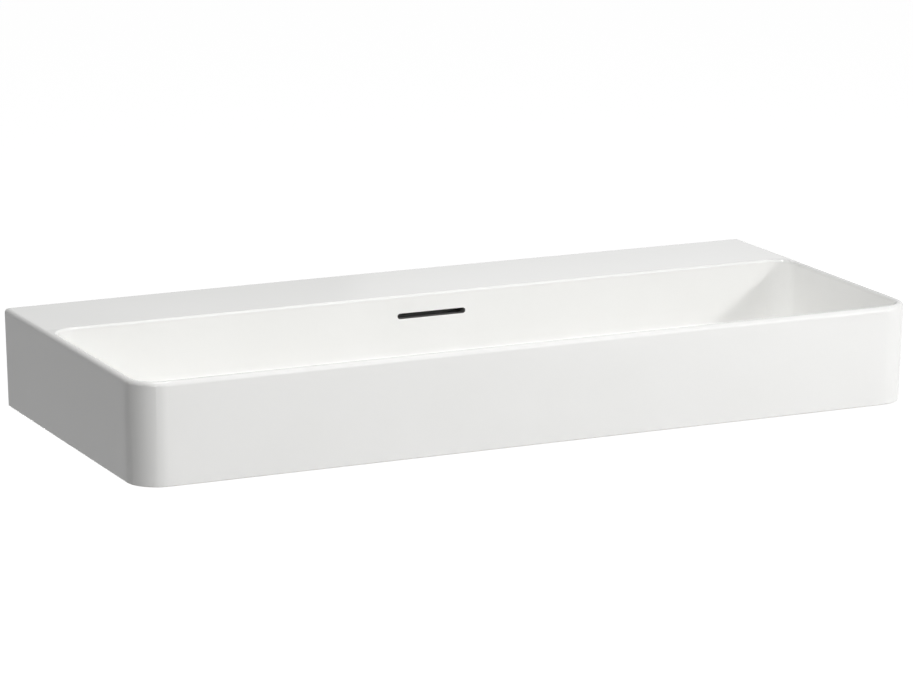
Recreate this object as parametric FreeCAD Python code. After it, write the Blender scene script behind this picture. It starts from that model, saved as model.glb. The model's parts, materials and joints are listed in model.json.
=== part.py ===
import FreeCAD, Part
import math
import os

# Wall-hung washbasin with its push-open waste, in millimetres.
# The front faces -Y, the wall is the plane y = 0 and +Z is up.
# The origin lies on the wall plane, midway between the two wall-fixing holes.
# Levels of the basin are depths below the rim, and z_at() turns one into a height.

# Basin, overall
basin_width = 950.0
basin_depth = 420.0
basin_height = 115.0
front_corner_radius = 36.0
apron_draft_deg = 1.15
rim_thickness = 9.0
rim_outer_radius = 5.0
rim_inner_radius = 3.0
rear_edge_radius = 1.5
foot_edge_radius = 1.5
opening_edge_radius = 1.0

# Bowl
deck_depth = 130.0
bowl_depth = 87.0
bowl_draft_deg = 2.0
bowl_corner_radius = 27.0
bowl_floor_radius = 22.0
dish_radius = 80.0
dish_drop = 3.0

# Walls below and behind the bowl
deck_thickness = 11.0
floor_thickness = 8.0
skirt_thickness = 10.0
bowl_rear_wall = 9.0
rear_panel_thickness = 12.0
cavity_corner_radius = 8.0
web_thickness = 9.0
web_spacing = 460.0
web_depth = 80.0

# Wall fixing, for M10 bolts
fixing_spacing = 280.0
fixing_drop = 60.0
fixing_hole_radius = 8.0
fixing_pad_radius = 22.0
fixing_pad_height = 6.0
bolt_clearance_radius = 5.25
bush_clearance = 0.1
bush_flange_radius = 14.0
bush_flange_thickness = 2.0
bush_wall_gap = 0.3

# Overflow: slot, duct behind the bowl, duct below its floor, gallery round the waste
slot_width = 86.0
slot_height = 6.4
slot_drop = 24.5
channel_depth = 12.0
channel_headroom = 6.0
duct_wall = 8.0
floor_channel_width = 60.0
gallery_height = 8.0
gallery_radius = 34.0
boss_radius = 44.0

# Waste hole and its seat in the ceramic
waste_from_wall = 240.0
waste_hole_radius = 23.25
seat_radius = 34.0
seat_recess = 2.0

# Waste body, G 1 1/4
flange_radius = 32.0
flange_thickness = 2.5
flange_edge_thickness = 1.0
flange_bevel_width = 2.0
shaft_radius = 20.95
shaft_bore_radius = 18.5
throat_depth = 4.0
window_count = 4
window_width = 16.0
window_margin = 0.5
free_thread_length = 18.0
relief_groove_width = 1.5
relief_groove_depth = 0.75
thread_chamfer = 1.0
hub_radius = 12.0
hub_height = 8.0
hub_below_gallery = 2.0
spoke_count = 3
spoke_width = 3.0

# Seals, washer and nut of the waste
flange_gasket_thickness = 1.5
flange_gasket_inset = 1.0
gasket_bore_clearance = 0.15
taper_gasket_radius = 30.0
taper_gasket_thickness = 4.0
taper_spigot_height = 3.0
taper_spigot_top_radius = 22.0
taper_spigot_foot_clearance = 0.35
slip_washer_radius = 29.0
slip_washer_thickness = 1.5
thread_clearance = 0.05
backnut_across_flats = 52.0
backnut_height = 9.0
backnut_bevel = 1.5

# Cover, its carrier, seal, stud and lock nut
cover_travel = 8.0
cover_closed_gap = 0.3
cap_radius = 30.0
cap_edge_height = 1.8
cap_edge_radius = 0.9
cap_height = 5.0
cap_recess_radius = 26.0
cap_recess_depth = 2.4
carrier_radius = 20.0
carrier_flange_thickness = 1.6
carrier_hub_radius = 16.0
carrier_hub_height = 5.1
seal_radius = 21.3
seal_thickness = 1.95
seal_fit = 0.05
stud_radius = 3.0
stud_length = 15.5
stud_socket_depth = 4.6
stud_end_gap = 0.1
lock_nut_across_flats = 10.0
lock_nut_height = 3.0

# Push-open cartridge
running_clearance = 0.05
plunger_radius = 5.0
plunger_gap_below_nut = 1.0
plunger_rod_length = 20.0
plunger_head_radius = 7.0
plunger_head_height = 4.0
plunger_pin_radius = 2.9
plunger_pin_length = 6.0
housing_radius = 9.0
housing_bore_radius = 7.6
housing_top_thickness = 2.5
housing_length = 34.5
housing_below_plunger_top = 3.5
housing_collar_radius = 11.5
housing_collar_height = 2.0
wiper_radius = 6.5
wiper_height = 1.2
wiper_side_gap = 0.05
cam_sleeve_gap = 0.3
cam_tooth_count = 8
cam_tooth_side = 1.2
index_ring_radius = 7.2
index_ring_height = 4.0
index_ring_gap = 0.1
index_bore_clearance = 0.1
spring_washer_radius = 7.0
spring_washer_thickness = 0.6
spring_washer_clearance = 0.3
plug_height = 3.0
plug_clearance = 0.1
plug_hole_radius = 1.8
spring_wire_radius = 0.45
spring_coil_radius = 5.6
spring_turns = 5
spring_arcs_per_turn = 4
spring_end_gap = 0.1

# How far a cutting tool reaches past the material, and how closely edges are found
overrun = 5.0
search_tolerance = 0.001

# Heights and places that follow from the sizes above
rim_z = fixing_drop
half_width = basin_width / 2
apron_inset = basin_height * math.tan(math.radians(apron_draft_deg))
bowl_inset_per_mm = math.tan(math.radians(bowl_draft_deg))
bowl_half_width = half_width - rim_thickness
bowl_front = basin_depth - rim_thickness
rear_wall_back = deck_depth - bowl_rear_wall
duct_back = rear_wall_back - channel_depth - duct_wall
cavity_half_width = half_width - apron_inset - skirt_thickness
cavity_front = basin_depth - apron_inset - skirt_thickness
dish_level = bowl_depth + dish_drop
underfloor_level = dish_level + floor_thickness
seat_level = dish_level + seat_recess
gallery_top = seat_level + floor_thickness
gallery_bottom = gallery_top + gallery_height
flange_bottom = seat_level - flange_gasket_thickness
flange_top = flange_bottom - flange_thickness
washer_level = basin_height + taper_gasket_thickness
nut_level = washer_level + slip_washer_thickness
nut_bottom = nut_level + backnut_height
waste_bottom = nut_bottom + relief_groove_width + free_thread_length
hub_top = gallery_bottom + hub_below_gallery
hub_bottom = hub_top + hub_height
cap_rim = flange_top - cover_closed_gap - cover_travel
cap_inside = cap_rim - cap_recess_depth
carrier_flange_bottom = cap_inside + carrier_flange_thickness
carrier_bottom = carrier_flange_bottom + carrier_hub_height
nut_underside = carrier_bottom + lock_nut_height
plunger_top = nut_underside + plunger_gap_below_nut
plunger_head_top = plunger_top + plunger_rod_length
plunger_head_bottom = plunger_head_top + plunger_head_height
plunger_pin_bottom = plunger_head_bottom + plunger_pin_length
housing_top = plunger_top + cover_travel + housing_below_plunger_top
housing_ceiling = housing_top + housing_top_thickness
housing_bottom = housing_top + housing_length
index_top = plunger_head_bottom + index_ring_gap
index_bottom = index_top + index_ring_height
spring_washer_top = index_bottom + index_ring_gap
spring_washer_bottom = spring_washer_top + spring_washer_thickness
plug_top = housing_bottom - plug_height


def z_at(depth):
    """Height of a level that lies `depth` below the rim."""
    return rim_z - depth


def on_waste_axis(shape):
    """Move a shape made round the Z axis to the axis of the waste."""
    return shape.translated(FreeCAD.Vector(0, -waste_from_wall, 0))


def block(x_low, x_high, y_low, y_high, z_low, z_high):
    """Box between two corners."""
    corner = FreeCAD.Vector(x_low, y_low, z_low)
    return Part.makeBox(x_high - x_low, y_high - y_low, z_high - z_low, corner)


def cylinder(radius, z_low, z_high):
    """Upright cylinder on the waste's axis."""
    base = FreeCAD.Vector(0, 0, z_low)
    return on_waste_axis(Part.makeCylinder(radius, z_high - z_low, base))


def ring(inner, outer, level_low, level_high):
    """Upright ring on the waste's axis, between two depths below the rim."""
    z_low, z_high = z_at(level_low), z_at(level_high)
    return cylinder(outer, z_low, z_high).cut(cylinder(inner, z_low - overrun, z_high + overrun))


def turned(profile):
    """Solid of revolution on the waste's axis, from (radius, depth below the rim) points."""
    points = [FreeCAD.Vector(radius, 0, z_at(level)) for radius, level in profile]
    face = Part.Face(Part.makePolygon(points + points[:1]))
    solid = face.revolve(FreeCAD.Vector(0, 0, 0), FreeCAD.Vector(0, 0, 1), 360)
    return on_waste_axis(solid)


def hexagon(across_flats, level_low, level_high):
    """Upright hexagonal prism on the waste's axis."""
    corner_radius = across_flats / 2 / math.cos(math.radians(30))
    points = []
    for side in range(7):
        angle = math.radians(60 * side)
        x, y = corner_radius * math.cos(angle), corner_radius * math.sin(angle)
        points.append(FreeCAD.Vector(x, y, z_at(level_low)))
    rise = FreeCAD.Vector(0, 0, z_at(level_high) - z_at(level_low))
    return on_waste_axis(Part.Face(Part.makePolygon(points)).extrude(rise))


def outline(half, rear, front, rear_radius, front_radius, z):
    """Closed outline in plan, symmetric about x = 0; rear and front are distances from the wall."""
    diagonal = math.sqrt(2) / 2
    corners = [
        (-half, -rear, 1, -1, rear_radius),
        (-half, -front, 1, 1, front_radius),
        (half, -front, -1, 1, front_radius),
        (half, -rear, -1, -1, rear_radius),
    ]
    stops = []
    for number, (x, y, inward_x, inward_y, radius) in enumerate(corners):
        along_y = FreeCAD.Vector(x, y + inward_y * radius, z)
        along_x = FreeCAD.Vector(x + inward_x * radius, y, z)
        bulge = radius * (1 - diagonal)
        middle = FreeCAD.Vector(x + inward_x * bulge, y + inward_y * bulge, z)
        ends = (along_x, along_y) if number % 2 == 0 else (along_y, along_x)
        stops.append((ends[0], middle, ends[1], radius))
    edges = []
    for number, (start, middle, end, radius) in enumerate(stops):
        if radius > 0:
            edges.append(Part.Arc(start, middle, end).toShape())
        following = stops[(number + 1) % len(stops)][0]
        edges.append(Part.LineSegment(end, following).toShape())
    return Part.Wire(edges)


def prism(wire, height):
    """Solid above a flat outline."""
    return Part.Face(wire).extrude(FreeCAD.Vector(0, 0, height))


def tapered_block(low, high):
    """Block with flat walls between two level rectangles, each (half width, rear, front, z)."""
    half_low, rear_low, front_low, z_low = low
    half_high, rear_high, front_high, z_high = high
    wedge = Part.makeWedge(-half_low, z_low, rear_low, rear_high, -half_high,
                           half_low, z_high, front_low, front_high, half_high)
    wedge.rotate(FreeCAD.Vector(0, 0, 0), FreeCAD.Vector(1, 0, 0), 90)
    return wedge


def rising_edges(shape, behind, ahead):
    """Edges of a shape that climb, whose middle lies between two distances from the wall."""
    return [edge for edge in shape.Edges
            if edge.BoundBox.ZLength > search_tolerance and behind <= -edge.BoundBox.Center.y <= ahead]


def level_edges(shape, z, behind, ahead):
    """Edges of a shape at height z whose middle lies between two distances from the wall."""
    found = []
    for edge in shape.Edges:
        box = edge.BoundBox
        level = abs(box.ZMin - z) < search_tolerance and box.ZLength < search_tolerance
        if level and behind - search_tolerance <= -box.Center.y <= ahead + search_tolerance:
            found.append(edge)
    return found


def edges_inside(shape, half_width_x, behind, ahead, level_low, level_high):
    """Edges of a shape inside a box that is centred on x = 0."""
    region = FreeCAD.BoundBox(-half_width_x, -ahead, z_at(level_low),
                              half_width_x, -behind, z_at(level_high))
    region.enlarge(search_tolerance)
    return [edge for edge in shape.Edges if region.isInside(edge.BoundBox)]


def basin_block():
    """Outer form: square at the wall, two round front corners, walls that draw in downwards."""
    solid = tapered_block((half_width - apron_inset, 0, basin_depth - apron_inset, z_at(basin_height)),
                          (half_width, 0, basin_depth, z_at(0)))
    corners = rising_edges(solid, rear_edge_radius, basin_depth)
    solid = solid.makeFillet(front_corner_radius, corners)
    rim = level_edges(solid, z_at(0), rear_edge_radius, basin_depth)
    solid = solid.makeFillet(rim_outer_radius, rim)
    foot = level_edges(solid, z_at(basin_height), rear_edge_radius, basin_depth)
    solid = solid.makeFillet(foot_edge_radius, foot)
    rear = level_edges(solid, z_at(0), 0, 0)
    return solid.makeFillet(rear_edge_radius, rear)


def bowl_rectangle(depth):
    """Half width, rear, front and height of the bowl's walls at a depth below the rim."""
    inset = depth * bowl_inset_per_mm
    return bowl_half_width - inset, deck_depth + inset, bowl_front - inset, z_at(depth)


def bowl_space():
    """The space of the bowl, with its round corners and the shallow dish at the waste."""
    space = tapered_block(bowl_rectangle(bowl_depth), bowl_rectangle(-overrun))
    space = space.makeFillet(bowl_corner_radius, rising_edges(space, 0, basin_depth))
    floor_edges = level_edges(space, z_at(bowl_depth), 0, basin_depth)
    space = space.makeFillet(bowl_floor_radius, floor_edges)
    dish = turned([(0, bowl_depth - overrun), (seat_radius, bowl_depth - overrun),
                   (seat_radius, bowl_depth), (dish_radius, bowl_depth),
                   (seat_radius, dish_level), (seat_radius, seat_level), (0, seat_level)])
    return space.fuse(dish)


def underside_space():
    """The open space below the floor of the bowl and behind its rear wall."""
    corner = front_corner_radius - apron_inset - skirt_thickness
    z_low = z_at(basin_height) - overrun
    below = outline(cavity_half_width, rear_panel_thickness, cavity_front,
                    cavity_corner_radius, corner, z_low)
    space = prism(below, z_at(underfloor_level) - z_low)
    behind = outline(cavity_half_width, rear_panel_thickness, rear_wall_back,
                     cavity_corner_radius, cavity_corner_radius, z_low)
    return space.fuse(prism(behind, z_at(deck_thickness) - z_low))


def duct_walls():
    """Walls of the two overflow ducts and the boss round the waste hole."""
    z_foot = z_at(basin_height)
    half = slot_width / 2 + duct_wall
    upright = block(-half, half, -rear_wall_back, -duct_back, z_foot, z_at(deck_thickness))
    half = floor_channel_width / 2 + duct_wall
    level = block(-half, half, -waste_from_wall, -duct_back, z_foot, z_at(underfloor_level))
    boss = cylinder(boss_radius, z_foot, z_at(underfloor_level))
    return upright.fuse([level, boss])


def duct_spaces():
    """Water way: slot in the bowl, upright duct, duct below the floor, gallery, waste hole."""
    half = slot_width / 2
    radius = slot_height / 2
    straight = half - radius
    slot_z = z_at(slot_drop)
    channel_front = rear_wall_back
    channel_back = rear_wall_back - channel_depth
    reach = deck_depth + slot_drop
    middle = block(-straight, straight, -reach, -channel_back - overrun,
                   slot_z - radius, slot_z + radius)
    slot = [middle]
    for side in (-1, 1):
        start = FreeCAD.Vector(side * straight, -reach, slot_z)
        length = reach - channel_back - overrun
        slot.append(Part.makeCylinder(radius, length, start, FreeCAD.Vector(0, 1, 0)))
    upright = block(-half, half, -channel_front, -channel_back,
                    z_at(gallery_bottom), slot_z + radius + channel_headroom)
    half = floor_channel_width / 2
    level = block(-half, half, -waste_from_wall, -channel_back,
                  z_at(gallery_bottom), z_at(gallery_top))
    gallery = cylinder(gallery_radius, z_at(gallery_bottom), z_at(gallery_top))
    hole = cylinder(waste_hole_radius, z_at(basin_height) - overrun, z_at(seat_level) + overrun)
    return slot + [upright, level, gallery, hole]


def webs():
    """Two webs that tie the rear panel to the rear wall of the bowl."""
    found = []
    for side in (-1, 1):
        middle = side * web_spacing / 2
        found.append(block(middle - web_thickness / 2, middle + web_thickness / 2,
                           -rear_wall_back, -rear_panel_thickness,
                           z_at(web_depth), z_at(deck_thickness)))
    return found


def fixing_cylinder(side, radius, near, far):
    """Cylinder along Y on a fixing axis, between two distances from the wall."""
    start = FreeCAD.Vector(side * fixing_spacing / 2, -far, 0)
    return Part.makeCylinder(radius, far - near, start, FreeCAD.Vector(0, 1, 0))


def opening_edges(solid):
    """Edges of the overflow slot, of the seat for the waste and of the openings at the foot."""
    slot = edges_inside(solid, slot_width / 2, deck_depth, deck_depth + slot_drop,
                        slot_drop + slot_height / 2, slot_drop - slot_height / 2)
    seat = edges_inside(solid, seat_radius, waste_from_wall - seat_radius,
                        waste_from_wall + seat_radius, dish_level, dish_level)
    foot = edges_inside(solid, cavity_half_width, rear_panel_thickness, cavity_front,
                        basin_height, basin_height)
    return slot + seat + foot


def basin_body():
    """Ceramic casting."""
    solid = basin_block().cut(bowl_space())
    inner_rim = edges_inside(solid, bowl_half_width, deck_depth, bowl_front, 0, 0)
    solid = solid.makeFillet(rim_inner_radius, inner_rim)
    solid = solid.cut(underside_space())
    pad_front = rear_panel_thickness + fixing_pad_height
    pads = [fixing_cylinder(side, fixing_pad_radius, rear_panel_thickness / 2, pad_front)
            for side in (-1, 1)]
    solid = solid.fuse([duct_walls()] + webs() + pads)
    holes = [fixing_cylinder(side, fixing_hole_radius, -overrun, pad_front + overrun)
             for side in (-1, 1)]
    solid = solid.cut(duct_spaces() + holes).removeSplitter()
    return solid.makeFillet(opening_edge_radius, opening_edges(solid))


def fixing_bushes():
    """Two flanged plastic sleeves, pushed in from inside the basin."""
    flange_back = rear_panel_thickness + fixing_pad_height
    bushes = []
    for side in (-1, 1):
        sleeve = fixing_cylinder(side, fixing_hole_radius - bush_clearance, bush_wall_gap, flange_back)
        flange = fixing_cylinder(side, bush_flange_radius, flange_back,
                                 flange_back + bush_flange_thickness)
        bore = fixing_cylinder(side, bolt_clearance_radius, -overrun, flange_back + overrun)
        bushes.append(sleeve.fuse(flange).cut(bore))
    return Part.makeCompound(bushes)


def waste_body():
    """Flanged shaft with the overflow windows and the hub that holds the cartridge."""
    throat_radius = shaft_bore_radius + throat_depth
    groove_radius = shaft_radius - relief_groove_depth
    thread_top = nut_bottom + relief_groove_width
    body = turned([
        (shaft_bore_radius, waste_bottom), (shaft_bore_radius, flange_top + throat_depth),
        (throat_radius, flange_top), (flange_radius - flange_bevel_width, flange_top),
        (flange_radius, flange_bottom - flange_edge_thickness), (flange_radius, flange_bottom),
        (shaft_radius, flange_bottom), (shaft_radius, nut_bottom), (groove_radius, nut_bottom),
        (groove_radius, thread_top), (shaft_radius, thread_top),
        (shaft_radius, waste_bottom - thread_chamfer), (shaft_radius - thread_chamfer, waste_bottom),
    ])
    windows = []
    for number in range(window_count):
        window = block(0, shaft_radius + overrun, -window_width / 2, window_width / 2,
                       z_at(gallery_bottom - window_margin), z_at(gallery_top + window_margin))
        angle = 360 * (number + 1 / 2) / window_count
        window.rotate(FreeCAD.Vector(0, 0, 0), FreeCAD.Vector(0, 0, 1), angle)
        windows.append(on_waste_axis(window))
    body = body.cut(windows)
    wall_middle = (shaft_radius + shaft_bore_radius) / 2
    spokes = []
    for number in range(spoke_count):
        spoke = block(0, wall_middle, -spoke_width / 2, spoke_width / 2,
                      z_at(hub_bottom), z_at(hub_top))
        spoke.rotate(FreeCAD.Vector(0, 0, 0), FreeCAD.Vector(0, 0, 1), 360 * number / spoke_count)
        spokes.append(on_waste_axis(spoke))
    hub = cylinder(hub_radius, z_at(hub_bottom), z_at(hub_top))
    bore = cylinder(housing_radius + running_clearance, z_at(hub_bottom) - overrun,
                    z_at(hub_top) + overrun)
    return body.fuse(spokes + [hub]).cut(bore).removeSplitter()


def flange_gasket():
    """Flat seal between the flange and its seat in the ceramic."""
    return ring(shaft_radius + gasket_bore_clearance, flange_radius - flange_gasket_inset,
                seat_level, flange_bottom)


def taper_gasket():
    """Rubber seal below the ceramic, with a cone that enters the waste hole."""
    bore = shaft_radius + gasket_bore_clearance
    spigot_foot = waste_hole_radius - taper_spigot_foot_clearance
    return turned([
        (bore, washer_level), (taper_gasket_radius, washer_level),
        (taper_gasket_radius, basin_height), (spigot_foot, basin_height),
        (taper_spigot_top_radius, basin_height - taper_spigot_height),
        (bore, basin_height - taper_spigot_height),
    ])


def slip_washer():
    """Plastic washer between the rubber and the nut."""
    return ring(shaft_radius + gasket_bore_clearance, slip_washer_radius, nut_level, washer_level)


def backnut():
    """Hexagonal nut with its corners turned back at both ends."""
    corner_radius = backnut_across_flats / 2 / math.cos(math.radians(30))
    flat_radius = backnut_across_flats / 2
    barrel = turned([
        (0, nut_bottom), (flat_radius, nut_bottom), (corner_radius, nut_bottom - backnut_bevel),
        (corner_radius, nut_level + backnut_bevel), (flat_radius, nut_level), (0, nut_level),
    ])
    bore = cylinder(shaft_radius + thread_clearance, z_at(nut_bottom) - overrun,
                    z_at(nut_level) + overrun)
    return hexagon(backnut_across_flats, nut_bottom, nut_level).common(barrel).cut(bore)


def cover_cap():
    """Domed cover with a thin rim, hollow below."""
    edge_level = cap_rim - cap_edge_height
    crown_level = cap_rim - cap_height
    crown_rise = cap_height - cap_edge_height
    dome_radius = (cap_radius ** 2 + crown_rise ** 2) / (2 * crown_rise)
    dome_centre = FreeCAD.Vector(0, 0, z_at(crown_level) - dome_radius)
    dome = on_waste_axis(Part.makeSphere(dome_radius, dome_centre))
    disc = cylinder(cap_radius, z_at(cap_rim), z_at(crown_level))
    recess = cylinder(cap_recess_radius, z_at(cap_rim) - overrun, z_at(cap_inside))
    cap = disc.common(dome)
    cap = cap.makeFillet(cap_edge_radius, level_edges(cap, z_at(edge_level), 0, basin_depth))
    return cap.cut(recess)


def cover_carrier():
    """Plastic disc under the cap, with the socket for the stud."""
    hub = cylinder(carrier_hub_radius, z_at(carrier_bottom), z_at(carrier_flange_bottom))
    disc = cylinder(carrier_radius, z_at(carrier_flange_bottom), z_at(cap_inside))
    socket = cylinder(stud_radius + running_clearance, z_at(carrier_bottom) - overrun,
                      z_at(carrier_bottom - stud_socket_depth))
    return disc.fuse(hub).cut(socket)


def cover_seal():
    """Rubber lip ring round the hub of the carrier."""
    return ring(carrier_hub_radius + seal_fit, seal_radius,
                carrier_flange_bottom + seal_thickness, carrier_flange_bottom)


def stud_level():
    """Depth of the top of the stud."""
    return carrier_bottom - stud_socket_depth + stud_end_gap


def cover_stud():
    """Threaded stud between the carrier and the plunger."""
    return cylinder(stud_radius, z_at(stud_level() + stud_length), z_at(stud_level()))


def lock_nut():
    """Nut that locks the carrier on the stud."""
    nut = hexagon(lock_nut_across_flats, nut_underside, carrier_bottom)
    bore = cylinder(stud_radius + running_clearance, z_at(nut_underside) - overrun,
                    z_at(carrier_bottom) + overrun)
    return nut.cut(bore)


def plunger():
    """Push rod with its head and the pin that carries the index ring."""
    rod = cylinder(plunger_radius, z_at(plunger_head_top), z_at(plunger_top))
    head = cylinder(plunger_head_radius, z_at(plunger_head_bottom), z_at(plunger_head_top))
    pin = cylinder(plunger_pin_radius, z_at(plunger_pin_bottom), z_at(plunger_head_bottom))
    stud_bottom = stud_level() + stud_length
    socket = cylinder(stud_radius + running_clearance, z_at(stud_bottom + stud_end_gap),
                      z_at(plunger_top) + overrun)
    return rod.fuse([head, pin]).cut(socket)


def toothed(shape, level):
    """Cut a crown of V notches into the end of a ring at a level."""
    bars = []
    for number in range(cam_tooth_count):
        half = cam_tooth_side / 2
        bar = block(0, housing_radius, -half, half, -half, half)
        bar.rotate(FreeCAD.Vector(0, 0, 0), FreeCAD.Vector(1, 0, 0), 45)
        bar.rotate(FreeCAD.Vector(0, 0, 0), FreeCAD.Vector(0, 0, 1), 360 * number / cam_tooth_count)
        bar.translate(FreeCAD.Vector(0, 0, z_at(level)))
        bars.append(on_waste_axis(bar))
    return shape.cut(bars)


def cartridge_housing():
    """Sleeve of the cartridge, with a collar that seats on the hub of the waste."""
    rod_hole = plunger_radius + running_clearance
    return turned([
        (wiper_radius + wiper_side_gap, housing_top), (housing_radius, housing_top),
        (housing_radius, hub_top - housing_collar_height),
        (housing_collar_radius, hub_top - housing_collar_height),
        (housing_collar_radius, hub_top), (housing_radius, hub_top),
        (housing_radius, housing_bottom), (housing_bore_radius, housing_bottom),
        (housing_bore_radius, housing_ceiling), (rod_hole, housing_ceiling),
        (rod_hole, housing_top + wiper_height),
        (wiper_radius + wiper_side_gap, housing_top + wiper_height),
    ])


def rod_wiper():
    """Ring in the mouth of the housing that keeps dirt off the rod."""
    return ring(plunger_radius + running_clearance, wiper_radius,
                housing_top + wiper_height, housing_top)


def cam_sleeve():
    """Fixed crown of teeth below the ceiling of the housing."""
    foot = plunger_head_top - cam_sleeve_gap
    sleeve = ring(plunger_radius + cam_sleeve_gap, housing_bore_radius - running_clearance,
                  foot, housing_ceiling)
    return toothed(sleeve, foot)


def index_ring():
    """Ring that turns one step at each press."""
    body = ring(plunger_pin_radius + index_bore_clearance, index_ring_radius,
                index_bottom, index_top)
    return toothed(body, index_top)


def spring_washer():
    """Thin steel washer between the index ring and the spring."""
    return ring(plunger_pin_radius + spring_washer_clearance, spring_washer_radius,
                spring_washer_bottom, spring_washer_top)


def cartridge_plug():
    """Bottom plug of the housing, with a drain hole."""
    return ring(plug_hole_radius, housing_bore_radius - plug_clearance, housing_bottom, plug_top)


def return_spring():
    """Coil spring between the plug and the washer, as one tube on quarter-turn arcs."""
    z_low = z_at(plug_top) + spring_end_gap + spring_wire_radius
    z_high = z_at(spring_washer_bottom) - spring_end_gap - spring_wire_radius
    steps = spring_turns * spring_arcs_per_turn

    def point(step):
        angle = 2 * math.pi * step / spring_arcs_per_turn
        return FreeCAD.Vector(spring_coil_radius * math.cos(angle),
                              spring_coil_radius * math.sin(angle),
                              z_low + (z_high - z_low) * step / steps)

    arcs = [Part.Arc(point(step), point(step + 1 / 2), point(step + 1)).toShape()
            for step in range(steps)]
    path = Part.Wire(arcs)
    heading = arcs[0].tangentAt(arcs[0].FirstParameter)
    section = Part.Wire(Part.makeCircle(spring_wire_radius, point(0), heading))
    coil = path.makePipeShell([section], True, False)
    pitch = (z_high - z_low) / spring_turns
    print("return_spring: least gap between turns", round(pitch - 2 * spring_wire_radius, 3), "mm")
    return on_waste_axis(coil)


pieces = {
    "basin_body": basin_body,
    "fixing_bushes": fixing_bushes,
    "waste_body": waste_body,
    "flange_gasket": flange_gasket,
    "taper_gasket": taper_gasket,
    "slip_washer": slip_washer,
    "backnut": backnut,
    "cover_cap": cover_cap,
    "cover_carrier": cover_carrier,
    "cover_seal": cover_seal,
    "cover_stud": cover_stud,
    "lock_nut": lock_nut,
    "plunger": plunger,
    "cartridge_housing": cartridge_housing,
    "rod_wiper": rod_wiper,
    "cam_sleeve": cam_sleeve,
    "index_ring": index_ring,
    "spring_washer": spring_washer,
    "cartridge_plug": cartridge_plug,
    "return_spring": return_spring,
}

os.makedirs("parts", exist_ok=True)
for name, make in pieces.items():
    shape = make()
    shape.exportStep("parts/" + name + ".step")
    box = shape.BoundBox
    print(name, "solids", len(shape.Solids), "valid", shape.isValid(),
          "volume", round(shape.Volume / 1000, 3), "cm3",
          "z", round(box.ZMin, 2), round(box.ZMax, 2))
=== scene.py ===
"""Looks of a wall-hung washbasin and its push-open waste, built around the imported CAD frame."""

from __future__ import annotations

import json
import logging
import math
from dataclasses import dataclass
from enum import Enum
from typing import Any, Sequence, Union

import bmesh
import bpy
from mathutils import Matrix, Vector

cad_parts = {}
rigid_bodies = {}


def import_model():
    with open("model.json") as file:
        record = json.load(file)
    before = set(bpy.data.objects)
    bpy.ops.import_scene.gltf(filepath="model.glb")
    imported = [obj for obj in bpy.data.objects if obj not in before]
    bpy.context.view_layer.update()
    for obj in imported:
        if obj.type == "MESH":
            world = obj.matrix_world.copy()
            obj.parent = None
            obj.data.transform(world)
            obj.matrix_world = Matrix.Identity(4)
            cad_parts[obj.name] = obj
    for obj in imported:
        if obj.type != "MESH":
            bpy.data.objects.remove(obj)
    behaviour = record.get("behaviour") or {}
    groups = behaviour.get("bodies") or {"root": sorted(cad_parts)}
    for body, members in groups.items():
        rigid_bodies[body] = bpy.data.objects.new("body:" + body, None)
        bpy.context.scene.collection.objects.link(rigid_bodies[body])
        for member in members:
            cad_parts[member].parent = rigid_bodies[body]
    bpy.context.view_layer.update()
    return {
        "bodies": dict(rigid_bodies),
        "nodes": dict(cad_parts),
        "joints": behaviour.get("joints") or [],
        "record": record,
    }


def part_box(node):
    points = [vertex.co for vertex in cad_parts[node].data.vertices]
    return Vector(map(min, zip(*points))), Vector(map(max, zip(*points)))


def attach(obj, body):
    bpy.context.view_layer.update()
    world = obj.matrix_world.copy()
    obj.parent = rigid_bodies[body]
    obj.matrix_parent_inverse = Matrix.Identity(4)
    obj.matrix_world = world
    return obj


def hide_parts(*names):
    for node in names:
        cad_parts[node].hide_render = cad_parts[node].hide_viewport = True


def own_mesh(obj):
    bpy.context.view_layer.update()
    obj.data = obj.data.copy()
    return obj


LOG = logging.getLogger("washbasin")

Colour = tuple[float, float, float]
Point = tuple[float, float, float]

MM = 0.001
RIM_Z = 60 * MM
DECK_FRONT = -130 * MM
BOWL_DRAFT = 0.0349
WASTE_Y = -240 * MM
WASTE_AXIS: Point = (0.0, WASTE_Y, 0.0)
WHITE = (1.0, 1.0, 1.0, 1.0)
WELD = 0.0005 * MM
CUT_TOLERANCE = 1e-7
FLAT_EDGE_DEG = 30.0
ROUND_EDGE_DEG = 50.0
SHADING_WEIGHT = 60


class Wire:
    """One output socket of a node tree, used in Python expressions that add Math nodes."""

    def __init__(self, graph: Graph, socket: bpy.types.NodeSocket) -> None:
        """Wrap an output socket of a graph's tree."""
        self.graph = graph
        self.socket = socket

    def __add__(self, other: Feed) -> Wire:
        """Sum."""
        return self.graph.maths("ADD", self, other)

    def __radd__(self, other: Feed) -> Wire:
        """Sum with the number first."""
        return self.graph.maths("ADD", other, self)

    def __sub__(self, other: Feed) -> Wire:
        """Difference."""
        return self.graph.maths("SUBTRACT", self, other)

    def __rsub__(self, other: Feed) -> Wire:
        """Difference with the number first."""
        return self.graph.maths("SUBTRACT", other, self)

    def __mul__(self, other: Feed) -> Wire:
        """Product."""
        return self.graph.maths("MULTIPLY", self, other)

    def __rmul__(self, other: Feed) -> Wire:
        """Product with the number first."""
        return self.graph.maths("MULTIPLY", other, self)

    def __truediv__(self, other: Feed) -> Wire:
        """Quotient."""
        return self.graph.maths("DIVIDE", self, other)


Feed = Union[Wire, float, int, bool, Sequence[float], bpy.types.ID]


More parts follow.
